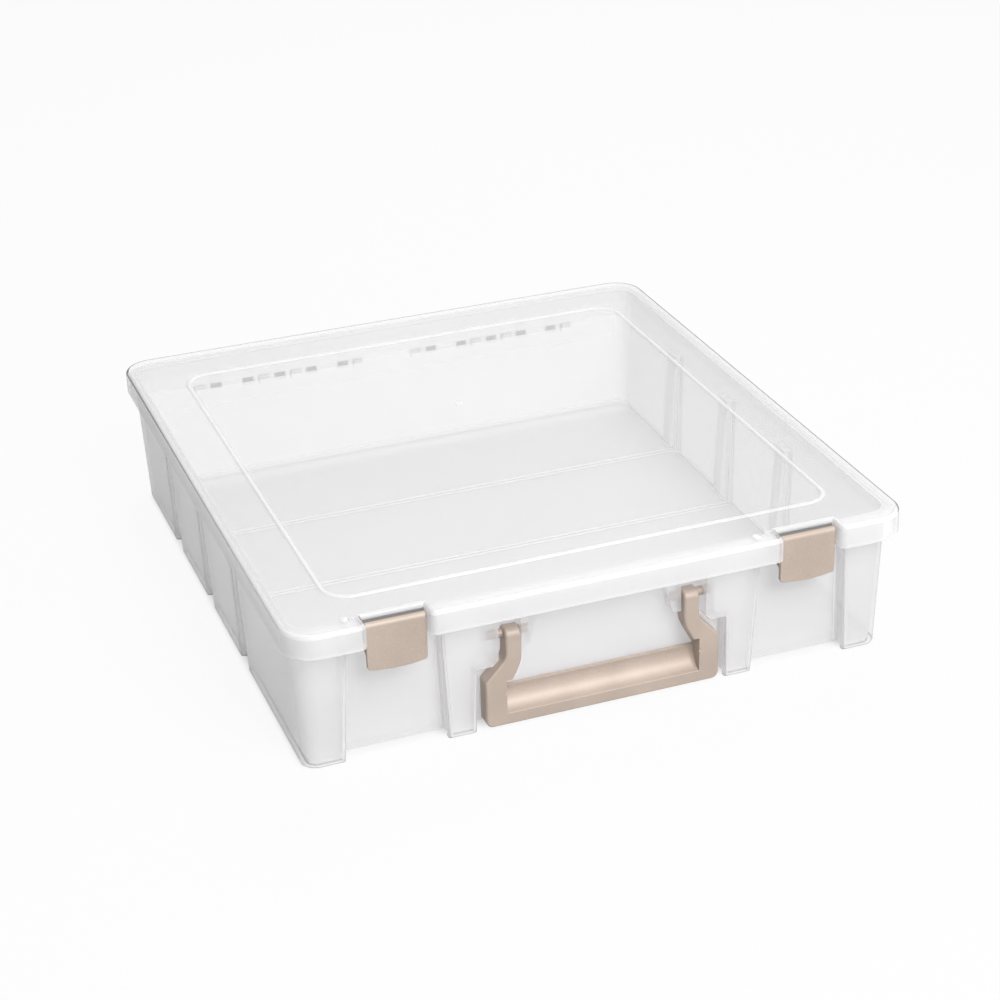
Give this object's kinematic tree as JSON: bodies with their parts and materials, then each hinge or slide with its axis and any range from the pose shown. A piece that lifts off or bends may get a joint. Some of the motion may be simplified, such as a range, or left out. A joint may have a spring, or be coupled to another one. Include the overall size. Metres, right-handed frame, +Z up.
{
  "type": "craft storage case",
  "caption": "Shallow translucent storage case with a hinged flat lid, swinging snap latches along the front and a fold-down carrying handle.",
  "frame": {"origin": "middle of the footprint, at the bottom of the feet", "axes": "+X along the front to the right, +Y to the hinge at the back, +Z up"},
  "size_m": [0.3556, 0.3874, 0.0889],
  "materials": {
    "clear_plastic": "translucent, smooth",
    "champagne_plastic": "pearl, satin",
    "hinge_rod": "natural, drawn rod"
  },
  "bodies": {
    "base": {"base_tray": "clear_plastic", "hinge_pin_left": "hinge_rod", "hinge_pin_right": "hinge_rod"},
    "lid": {"lid": "clear_plastic"},
    "latch_left": {"latch_left": "champagne_plastic"},
    "latch_right": {"latch_right": "champagne_plastic"},
    "handle": {"handle": "champagne_plastic"}
  },
  "joints": [
    {"name": "lid_hinge", "type": "hinge", "parent": "base", "child": "lid", "pos_m": [0, 0.19068, 0.063], "axis": [-1, 0, 0], "range_deg": [0, 110]},
    {"name": "latch_left_hinge", "type": "hinge", "parent": "lid", "child": "latch_left", "pos_m": [-0.1183, -0.18468, 0.0825], "axis": [-1, 0, 0], "range_deg": [0, 100]},
    {"name": "latch_right_hinge", "type": "hinge", "parent": "lid", "child": "latch_right", "pos_m": [0.1183, -0.18468, 0.0825], "axis": [-1, 0, 0], "range_deg": [0, 100]},
    {"name": "handle_hinge", "type": "hinge", "parent": "base", "child": "handle", "pos_m": [0, -0.17433, 0.056], "axis": [-1, 0, 0], "range_deg": [0, 95]}
  ]
}
